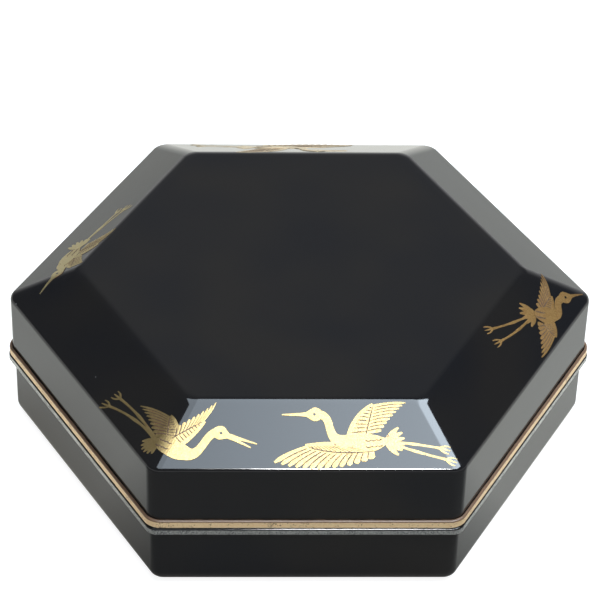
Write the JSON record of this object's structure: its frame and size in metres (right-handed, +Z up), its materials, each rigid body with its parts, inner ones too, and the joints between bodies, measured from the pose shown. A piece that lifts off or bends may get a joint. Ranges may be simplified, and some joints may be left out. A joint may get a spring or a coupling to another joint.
{
  "type": "hexagonal lacquer incense box",
  "caption": "Hollow hexagonal lacquered wood incense box with a lift-off faceted lid, raised bands round both rims and an inner lip.",
  "frame": {"origin": "centre of the flat underside, where the box stands", "axes": "+X from corner to corner, +Y from flat side to flat side away from the camera, +Z up through the flat top"},
  "size_m": [0.0804, 0.0702, 0.0258],
  "materials": {
    "lid_lacquer": "black gloss lacquer over thin wood, with gold powder cranes on the facets and a gilt band round the rim",
    "base_lacquer": "black gloss lacquer over thin wood, with a dull silver-gray band round the rim"
  },
  "bodies": {
    "root": {"lid": "lid_lacquer", "base": "base_lacquer"}
  },
  "joints": []
}
